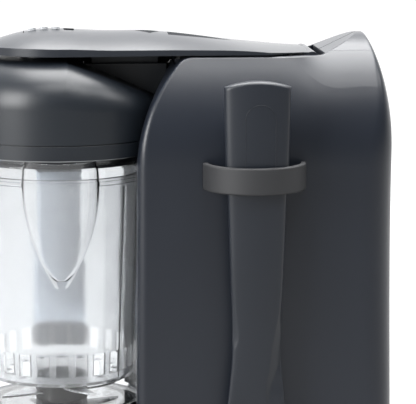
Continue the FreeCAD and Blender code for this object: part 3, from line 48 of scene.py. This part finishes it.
# Camera at the photograph's angle: place, target and reach in metres, sensor and lens in millimetres
CAMERA_PLACE = (-0.0858, -1.3957, 0.3787)
CAMERA_TARGET = (0.024, 0.0, 0.157)
CAMERA_REACH = (0.01, 50.0)
CAMERA_SENSOR = 36.0
CAMERA_LENS = 190.95

# Soft boxes: name, place, target, size and watts
SOFTBOXES = (
    ("overhead", (0.1, 0.2, 1.4), (0.05, 0.0, 0.2), (1.2, 1.3), 75.0),
    ("front_top", (0.16, -0.75, 1.34), (0.05, 0.0, 0.25), (1.4, 0.35), 18.0),
    ("right", (1.2, -0.25, 1.3), (0.0, 0.0, 0.2), (0.5, 0.5), 8.0),
    ("left", (-1.3, -0.9, 0.68), (-0.05, 0.0, 0.16), (0.9, 0.9), 48.0),
)

# Floor: half its width, its grey, and its glow from the camera's side to behind the object
FLOOR_HALF = 12.0
FLOOR_GREY = 0.12
FLOOR_ROUGH = 0.9
FLOOR_GLOW = (0.42, 0.9)
FLOOR_GLOW_Y = (-1.1, 0.1)

# Studio around it: shade from the camera's side to behind, and strength from low to high
STUDIO_DEPTH_Y = (-1.0, 1.0)
STUDIO_SHADE = (0.1, 1.0)
STUDIO_SHADE_SPAN = (0.4, 0.8)
STUDIO_STRENGTH = (2.4, 1.6)
STUDIO_STRENGTH_Z = (0.0, 0.6)

# Textures as (features per metre, levels of finer detail), and the stretch of the brushed streaks
MOULD_GRAIN = (900.0, 2.0)
SILICONE_GRAIN = (1400.0, 2.0)
CLOUD = (14.0, 3.0)
FLOW = (30.0, 1.0)
HAZE = (60.0, 3.0)
BRUSH_LINES = (700.0, 3.0)
BRUSH_STRETCH = (0.05, 1.0, 1.0)

# Relief of each texture as (strength, depth in metres), and the strengths that differ from the mould's
MOULD_RELIEF = (0.25, 0.00002)
FLOW_RELIEF = (0.05, 0.0003)
HAZE_RELIEF = (0.1, 0.0002)
BRUSH_RELIEF = (0.15, 0.00002)
SILICONE_STRENGTH = 0.4
INLAY_STRENGTH = 0.1

# Unevenness: moulded tone and roughness stray to both sides by these shares and amounts; the others'
# tone falls to a share, and their roughness rises by an amount or over a span
MOULD_TONE = 0.06
MOULD_GLOSS = 0.03
FLOW_TONE = 0.985
FLOW_GLOSS = 0.015
HAZE_TONE = 0.96
HAZE_ROUGH = (0.1, 0.16)
BRUSH_TONE = 0.85
BRUSH_GLOSS = 0.12

# Refraction of the plastics, and the share of light that milky plastic lets through
MOULD_IOR = 1.4
INLAY_IOR = 1.2
CLEAR_IOR = 1.45
MILKY_IOR = 1.3
MILKY_THROUGH = 0.86

# Rounding that catches light along moulded edges, in metres
EDGE_ROUND = 0.0004
EDGE_SAMPLES = 4

# Spatula in millimetres: its place, and its widths and thicknesses by share of its length from the tip
SPATULA_X = 47.7
SPATULA_BACK = -75.8
SPATULA_LOW = 21.0
SPATULA_LENGTH = 222.0
SPATULA_WIDTHS = (
    (0.0, 42.0), (0.104, 35.2), (0.212, 30.6), (0.27, 29.7), (0.333, 30.0),
    (0.46, 32.6), (0.685, 36.2), (0.775, 38.6), (1.0, 41.0),
)
SPATULA_DEPTHS = ((0.0, 2.6), (0.1, 4.55), (0.27, 6.5), (0.52, 8.9), (0.77, 11.0), (1.0, 11.0))
SPATULA_TIP_R = 23.8
SPATULA_TOP_BOW = 3.7
TOP_ROUND = 2.2
TIP_ROUND = 1.0

# Its cross-section: how square and how soft its edges are, the shares of the thickness behind and in
# front of them, and how far the crown falls towards them
EDGE_SQUARE = 14
EDGE_SOFT = 0.4
BACK_SHARE = 0.35
FRONT_SHARE = 0.65
CROWN_FALL = 0.3

# Flats along the blade's edges, by height: how far each reaches in from its edge, and how far in the
# right one lies level before it rises
LEFT_FLAT = ((76.0, 0.0), (84.0, 3.5), (100.0, 2.3), (115.0, 1.8), (150.0, 1.0), (175.0, 0.0))
RIGHT_FLAT = (
    (28.0, 11.0), (40.0, 11.2), (48.0, 11.2), (55.0, 10.7),
    (62.0, 8.7), (70.0, 7.0), (79.0, 5.6), (109.0, 0.0),
)
RIGHT_STEP = (
    (28.0, 11.0), (40.0, 10.4), (48.0, 9.3), (55.0, 7.2),
    (62.0, 4.2), (70.0, 0.5), (79.0, 0.0), (109.0, 0.0),
)
FLAT_SLOPE = 0.5

# Its mesh: columns to each side of the middle, rows between the ends, rows by distance from each end,
# and the steps in which a row's height settles on the bowed ends
HALF_COLUMNS = 30
MIDDLE_ROWS = 150
MIDDLE_CLEAR = 2.6
END_ROWS = (0.0, 0.03, 0.1, 0.2, 0.35, 0.55, 0.8, 1.1, 1.5, 1.9, 2.3)
SETTLE_STEPS = 12

# Raised outline on the handle, in millimetres, and its mesh
OUTLINE_HALF = 9.15
OUTLINE_OFF = 1.4
OUTLINE_LOW = 176.0
OUTLINE_TOP = 229.0
OUTLINE_R = 0.2
OUTLINE_STEPS = 40
OUTLINE_TURN_STEPS = 36
OUTLINE_SIDES = 8

# Painted shade: a dark rubber sheet under the arm, behind the duct's neck, that blocks light through the
# gap, in millimetres, and the rounding of its edges
SHADE_SHEET = (
    (-70.0, 251.45), (-66.05, 251.45), (-60.0, 249.15), (-55.7, 247.45), (-3.0, 247.45), (-2.6, 245.0),
    (0.0, 248.1), (4.0, 252.4), (4.6, 254.9), (-70.0, 254.9),
)
SHADE_SHEET_Y = (5.6, 9.4)
SHADE_SHEET_ROUND = 0.2
SHADE_SHEET_ROUND_STEPS = 2
CIRCULAR = 0.5

# Mesh points closer than this are one, and shorter edges are dropped, in metres
SAME_POINT = 1e-6
NO_EDGE = 1e-7


def node(tree, kind, **settings):
    made = tree.nodes.new(kind)
    for name, value in settings.items():
        setattr(made, name, value)
    return made


def new_material(name):
    material = bpy.data.materials.new(name)
    material.use_nodes = True
    tree = material.node_tree
    return material, tree, tree.nodes["Principled BSDF"]


def object_place(tree):
    return node(tree, "ShaderNodeTexCoord").outputs["Object"]


def noise(tree, place, texture):
    made = node(tree, "ShaderNodeTexNoise")
    made.inputs["Scale"].default_value, made.inputs["Detail"].default_value = texture
    tree.links.new(place, made.inputs["Vector"])
    return made.outputs["Fac"]


def ramp(tree, source, low, high, start=0.3, end=0.7):
    """Colour or value that runs from low to high as the source runs from start to end."""
    made = node(tree, "ShaderNodeValToRGB")
    made.color_ramp.elements[0].position = start
    made.color_ramp.elements[1].position = end
    made.color_ramp.elements[0].color = (*low, 1.0)
    made.color_ramp.elements[1].color = (*high, 1.0)
    tree.links.new(source, made.inputs["Fac"])
    return made.outputs["Color"]


def map_range(tree, source, span, values):
    """Number that runs over the values as the source runs over the span."""
    made = node(tree, "ShaderNodeMapRange")
    for name, value in zip(("From Min", "From Max", "To Min", "To Max"), (*span, *values)):
        made.inputs[name].default_value = value
    tree.links.new(source, made.inputs["Value"])
    return made.outputs["Result"]


def grey(value):
    return (value, value, value)


def tint(colour, share):
    return tuple(channel * share for channel in colour)


def vary(tree, shader, source, tones, roughs):
    """Tone and gloss that vary together with a texture."""
    tree.links.new(ramp(tree, source, *tones), shader.inputs["Base Color"])
    tree.links.new(ramp(tree, source, *map(grey, roughs)), shader.inputs["Roughness"])


def bump(tree, shader, height, strength, depth):
    """Surface relief from a height, over softly rounded edges."""
    edge = node(tree, "ShaderNodeBevel", samples=EDGE_SAMPLES)
    edge.inputs["Radius"].default_value = EDGE_ROUND
    made = node(tree, "ShaderNodeBump")
    made.inputs["Strength"].default_value = strength
    made.inputs["Distance"].default_value = depth
    tree.links.new(height, made.inputs["Height"])
    tree.links.new(edge.outputs["Normal"], made.inputs["Normal"])
    tree.links.new(made.outputs["Normal"], shader.inputs["Normal"])


def moulded(name, colour, rough, grain=MOULD_GRAIN, strength=MOULD_RELIEF[0], ior=MOULD_IOR):
    """Moulded plastic: a fine spark-eroded grain, faint clouding of tone and uneven gloss."""
    material, tree, shader = new_material(name)
    place = object_place(tree)
    cloud = noise(tree, place, CLOUD)
    tones = (tint(colour, 1 - MOULD_TONE), tint(colour, 1 + MOULD_TONE))
    vary(tree, shader, cloud, tones, (rough - MOULD_GLOSS, rough + MOULD_GLOSS))
    bump(tree, shader, noise(tree, place, grain), strength, MOULD_RELIEF[1])
    shader.inputs["IOR"].default_value = ior
    return material


def clear_plastic(name, colour, rough):
    """Clear moulded plastic with a faint flow unevenness."""
    material, tree, shader = new_material(name)
    flow = noise(tree, object_place(tree), FLOW)
    vary(tree, shader, flow, (tint(colour, FLOW_TONE), colour), (rough, rough + FLOW_GLOSS))
    bump(tree, shader, flow, *FLOW_RELIEF)
    shader.inputs["Transmission Weight"].default_value = 1.0
    shader.inputs["IOR"].default_value = CLEAR_IOR
    return material


def milky_plastic(name, colour):
    """Translucent moulded plastic with a soft haze."""
    material, tree, shader = new_material(name)
    haze = noise(tree, object_place(tree), HAZE)
    vary(tree, shader, haze, (tint(colour, HAZE_TONE), colour), HAZE_ROUGH)
    bump(tree, shader, haze, *HAZE_RELIEF)
    shader.inputs["Transmission Weight"].default_value = MILKY_THROUGH
    shader.inputs["IOR"].default_value = MILKY_IOR
    return material


def metal(name, colour, rough):
    """Brushed or turned metal with fine streaks along X."""
    material, tree, shader = new_material(name)
    stretch = node(tree, "ShaderNodeMapping")
    stretch.inputs["Scale"].default_value = BRUSH_STRETCH
    tree.links.new(object_place(tree), stretch.inputs["Vector"])
    streak = noise(tree, stretch.outputs["Vector"], BRUSH_LINES)
    vary(tree, shader, streak, (tint(colour, BRUSH_TONE), colour), (rough, rough + BRUSH_GLOSS))
    bump(tree, shader, streak, *BRUSH_RELIEF)
    shader.inputs["Metallic"].default_value = 1.0
    return material


# Each slot's kind of material, with its colour, its roughness and what else sets it apart
LOOKS = {
    "housing_plastic": (moulded, (0.006, 0.008, 0.0125), 0.36),
    "arm_plastic": (moulded, (0.008, 0.010, 0.014), 0.36),
    "lid_plastic": (moulded, (0.006, 0.008, 0.011), 0.36),
    "spatula_plastic": (moulded, (0.006, 0.008, 0.012), 0.38),
    "loop_silicone": (moulded, (0.014, 0.0145, 0.016), 0.6, SILICONE_GRAIN, SILICONE_STRENGTH),
    "clear_plastic": (clear_plastic, (0.95, 0.96, 0.97), 0.01),
    "basket_plastic": (milky_plastic, (0.93, 0.94, 0.95)),
    "handle_plastic": (moulded, (0.46, 0.51, 0.57), 0.42),
    "pip_plastic": (moulded, (0.33, 0.34, 0.35), 0.45),
    "inlay_plastic": (moulded, (0.006, 0.007, 0.009), 0.85, MOULD_GRAIN, INLAY_STRENGTH, INLAY_IOR),
    "black_plastic": (moulded, (0.005, 0.005, 0.006), 0.45),
    "dial_plastic": (moulded, (0.24, 0.245, 0.25), 0.4),
    "steel": (metal, (0.66, 0.66, 0.67), 0.22),
    "aluminium": (metal, (0.75, 0.76, 0.77), 0.35),
    "iron": (metal, (0.25, 0.25, 0.26), 0.45),
    "brass": (metal, (0.75, 0.58, 0.28), 0.3),
    "rubber": (moulded, (0.022, 0.022, 0.023), 0.7, SILICONE_GRAIN, SILICONE_STRENGTH),
    "seal_silicone": (moulded, (0.45, 0.46, 0.47), 0.55, SILICONE_GRAIN),
    "board": (moulded, (0.03, 0.16, 0.07), 0.3),
    "lens": (clear_plastic, (0.95, 0.6, 0.25), 0.08),
}
MATERIALS = {name: kind(name, *settings) for name, (kind, *settings) in LOOKS.items()}


def paint_nodes():
    for part in frame["record"]["subparts"]:
        mesh = NODES[part["node"]].data
        mesh.materials.clear()
        mesh.materials.append(MATERIALS[part["material_slot"]])


def along(stations, place):
    """Smooth value at a place, through stations of (place, value)."""
    last = len(stations) - 1
    at = 0
    while at < last - 1 and stations[at + 1][0] <= place:
        at += 1
    start, end = stations[at], stations[at + 1]
    before, after = stations[max(at - 1, 0)], stations[min(at + 2, last)]
    span = end[0] - start[0]
    t = min(max((place - start[0]) / span, 0.0), 1.0)
    leave = (end[1] - before[1]) / (end[0] - before[0]) * span
    reach = (after[1] - start[1]) / (after[0] - start[0]) * span
    keep = 2 * t ** 3 - 3 * t ** 2 + 1
    bend = (t ** 3 - 2 * t ** 2 + t) * leave + (t ** 3 - t ** 2) * reach
    return keep * start[1] + (1 - keep) * end[1] + bend


def within(stations, z):
    """Value at a height, or zero outside the stations."""
    if stations[0][0] < z < stations[-1][0]:
        return max(along(stations, z), 0.0)
    return 0.0


def spatula_half(z):
    return along(SPATULA_WIDTHS, (z - SPATULA_LOW) / SPATULA_LENGTH) / 2


def spatula_ends(x):
    """Heights of the bowed tip and the bowed top at a distance from the middle."""
    tip = SPATULA_LOW + SPATULA_TIP_R - math.sqrt(SPATULA_TIP_R ** 2 - x * x)
    half = SPATULA_WIDTHS[-1][1] / 2
    return tip, SPATULA_LOW + SPATULA_LENGTH - SPATULA_TOP_BOW * (x / half) ** 2


def flat_push(x, half, z):
    """How far the flats along the blade's edges lie below the crowned front."""
    left = max(within(LEFT_FLAT, z) - (x + half), 0.0)
    edge = half - x
    right = within(RIGHT_FLAT, z) - max(edge, within(RIGHT_STEP, z))
    return FLAT_SLOPE * (left + max(right, 0.0))


def rounded(distance, radius):
    """Setback of a rounded edge at a distance from its end."""
    short = max(radius - distance, 0.0)
    return radius - math.sqrt(radius ** 2 - short ** 2)


def spatula_sides(x, z):
    """Y of the crowned front and of the back."""
    half = spatula_half(z)
    depth = along(SPATULA_DEPTHS, (z - SPATULA_LOW) / SPATULA_LENGTH)
    q = min(abs(x) / half, 1.0)
    full = (1 - q ** EDGE_SQUARE) ** EDGE_SOFT
    tip, top = spatula_ends(x)
    setback = rounded(max(top - z, 0.0), TOP_ROUND) + rounded(max(z - tip, 0.0), TIP_ROUND)
    crown = depth * (BACK_SHARE + (FRONT_SHARE - CROWN_FALL * q * q) * full)
    front = crown - (flat_push(x, half, z) + setback) * full
    back = depth * BACK_SHARE * (1 - full) + setback * full
    return SPATULA_BACK - max(front, back), SPATULA_BACK - back


def finish_mesh(name, points, faces, body, material):
    mesh = bpy.data.meshes.new(name)
    mesh.from_pydata([tuple(c / MM_PER_M for c in point) for point in points], [], faces)
    work = bmesh.new()
    work.from_mesh(mesh)
    bmesh.ops.remove_doubles(work, verts=work.verts, dist=SAME_POINT)
    bmesh.ops.dissolve_degenerate(work, edges=work.edges, dist=NO_EDGE)
    bmesh.ops.recalc_face_normals(work, faces=work.faces)
    for face in work.faces:
        face.smooth = True
    work.to_mesh(mesh)
    work.free()
    mesh.materials.append(MATERIALS[material])
    made = bpy.data.objects.new(name, mesh)
    bpy.context.scene.collection.objects.link(made)
    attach(made, body)
    return made


def row_height(kind, amount, x):
    """Height of a row of the spatula's mesh at a distance from the middle."""
    tip, top = spatula_ends(x)
    if kind == "tip":
        return tip + amount
    if kind == "top":
        return top - amount
    return tip + MIDDLE_CLEAR + (top - tip - 2 * MIDDLE_CLEAR) * amount


def add_spatula():
    """Scraper with a crowned front, flats along its blade, and rounded ends."""
    columns = [math.sin(math.pi / 2 * (i / HALF_COLUMNS - 1)) for i in range(2 * HALF_COLUMNS + 1)]
    rows = [("tip", distance) for distance in END_ROWS]
    rows += [("middle", i / MIDDLE_ROWS) for i in range(MIDDLE_ROWS + 1)]
    rows += [("top", distance) for distance in reversed(END_ROWS)]
    points = []
    for kind, amount in rows:
        for side in (0, 1):
            for q in columns:
                z = SPATULA_LOW + SPATULA_LENGTH / 2
                for _ in range(SETTLE_STEPS):
                    x = q * spatula_half(z)
                    z = row_height(kind, amount, x)
                points.append((SPATULA_X + x, spatula_sides(x, z)[side], z))
    wide = len(columns)
    faces = []
    for row in range(len(rows) - 1):
        for side in (0, 1):
            first = (2 * row + side) * wide
            for i in range(first, first + wide - 1):
                faces.append((i, i + 1, i + 1 + 2 * wide, i + 2 * wide))
    for first in (0, 2 * wide * (len(rows) - 1)):
        for i in range(first, first + wide - 1):
            faces.append((i, i + 1, i + 1 + wide, i + wide))
    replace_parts(finish_mesh("spatula_body", points, faces, "spatula", "spatula_plastic"), "spatula")


def outline_path():
    """Places (x, z) along the outline: up the left, round the top and down the right."""
    turn_z = OUTLINE_TOP - OUTLINE_HALF
    rise = turn_z - OUTLINE_LOW
    path = []
    for i in range(OUTLINE_STEPS + 1):
        path.append((OUTLINE_OFF - OUTLINE_HALF, OUTLINE_LOW + rise * i / OUTLINE_STEPS))
    for i in range(1, OUTLINE_TURN_STEPS):
        turn = math.pi * (1 - i / OUTLINE_TURN_STEPS)
        path.append((OUTLINE_OFF + OUTLINE_HALF * math.cos(turn), turn_z + OUTLINE_HALF * math.sin(turn)))
    for i in range(OUTLINE_STEPS + 1):
        path.append((OUTLINE_OFF + OUTLINE_HALF, turn_z - rise * i / OUTLINE_STEPS))
    return path


def add_outline():
    """Raised line round the handle's plain field, open towards the loop."""
    spine = [Vector((SPATULA_X + x, spatula_sides(x, z)[0], z)) for x, z in outline_path()]
    out = Vector((0.0, -1.0, 0.0))
    sides = OUTLINE_SIDES
    points = []
    for i, place in enumerate(spine):
        ahead = spine[min(i + 1, len(spine) - 1)] - spine[max(i - 1, 0)]
        across = ahead.cross(out).normalized()
        for k in range(sides):
            turn = 2 * math.pi * k / sides
            points.append(place + OUTLINE_R * (math.cos(turn) * across + math.sin(turn) * out))
    faces = [tuple(range(sides)), tuple(range(len(points) - sides, len(points)))]
    for i in range(len(spine) - 1):
        for k in range(sides):
            a, b = sides * i + k, sides * i + (k + 1) % sides
            faces.append((a, b, b + sides, a + sides))
    finish_mesh("spatula_outline", points, faces, "spatula", "spatula_plastic")


def add_shade_sheet():
    """Dark sheet behind the duct's neck that blocks light through the gap, as painted shade under the
    arm.
    """
    count = len(SHADE_SHEET)
    points = [(x, y, z) for y in SHADE_SHEET_Y for x, z in SHADE_SHEET]
    faces = [tuple(range(count)), tuple(range(count, 2 * count))]
    for i in range(count):
        after = (i + 1) % count
        faces.append((i, after, after + count, i + count))
    shade_sheet = finish_mesh("duct_shade_sheet", points, faces, "arm", "rubber")
    work = bmesh.new()
    work.from_mesh(shade_sheet.data)
    bmesh.ops.bevel(
        work, geom=work.edges, offset=SHADE_SHEET_ROUND / MM_PER_M, segments=SHADE_SHEET_ROUND_STEPS,
        affect="EDGES", profile=CIRCULAR,
    )
    work.to_mesh(shade_sheet.data)
    work.free()


def look_at(thing, place, target):
    thing.location = place
    thing.rotation_mode = "QUATERNION"
    thing.rotation_quaternion = (Vector(target) - Vector(place)).to_track_quat("-Z", "Y")


def add_camera():
    data = bpy.data.cameras.new("camera")
    data.sensor_width = CAMERA_SENSOR
    data.lens = CAMERA_LENS
    data.clip_start, data.clip_end = CAMERA_REACH
    camera = bpy.data.objects.new("camera", data)
    bpy.context.scene.collection.objects.link(camera)
    look_at(camera, CAMERA_PLACE, CAMERA_TARGET)
    bpy.context.scene.camera = camera


def add_softbox(name, place, target, size, power):
    data = bpy.data.lights.new(name, "AREA")
    data.shape = "RECTANGLE"
    data.size, data.size_y = size
    data.energy = power
    light = bpy.data.objects.new(name, data)
    bpy.context.scene.collection.objects.link(light)
    look_at(light, place, target)


def axes(tree, output):
    """X, Y and Z of a place or direction."""
    place = node(tree, "ShaderNodeTexCoord")
    split = node(tree, "ShaderNodeSeparateXYZ")
    tree.links.new(place.outputs[output], split.inputs["Vector"])
    return split.outputs


def add_floor():
    """Pale floor that glows behind the object and less on the camera's side."""
    far = FLOOR_HALF
    mesh = bpy.data.meshes.new("floor")
    corners = [(-far, -far, 0.0), (far, -far, 0.0), (far, far, 0.0), (-far, far, 0.0)]
    mesh.from_pydata(corners, [], [(0, 1, 2, 3)])
    floor = bpy.data.objects.new("floor", mesh)
    bpy.context.scene.collection.objects.link(floor)
    material, tree, shader = new_material("floor")
    shader.inputs["Base Color"].default_value = (*grey(FLOOR_GREY), 1.0)
    shader.inputs["Roughness"].default_value = FLOOR_ROUGH
    shader.inputs["Emission Color"].default_value = (1.0, 1.0, 1.0, 1.0)
    glow = map_range(tree, axes(tree, "Object")["Y"], FLOOR_GLOW_Y, FLOOR_GLOW)
    tree.links.new(glow, shader.inputs["Emission Strength"])
    mesh.materials.append(material)


def add_world():
    """Studio that is bright low down behind the object and dim on the camera's side."""
    world = bpy.data.worlds.new("studio")
    bpy.context.scene.world = world
    world.use_nodes = True
    tree = world.node_tree
    background = tree.nodes["Background"].inputs
    towards = axes(tree, "Generated")
    depth = map_range(tree, towards["Y"], STUDIO_DEPTH_Y, (0.0, 1.0))
    shade = ramp(tree, depth, *map(grey, STUDIO_SHADE), *STUDIO_SHADE_SPAN)
    tree.links.new(shade, background["Color"])
    strength = map_range(tree, towards["Z"], STUDIO_STRENGTH_Z, STUDIO_STRENGTH)
    tree.links.new(strength, background["Strength"])


def add_light():
    add_world()
    for softbox in SOFTBOXES:
        add_softbox(*softbox)
    bpy.context.scene.view_settings.view_transform = "Standard"


paint_nodes()
add_spatula()
add_outline()
add_shade_sheet()
add_camera()
add_floor()
add_light()

bpy.context.view_layer.update()
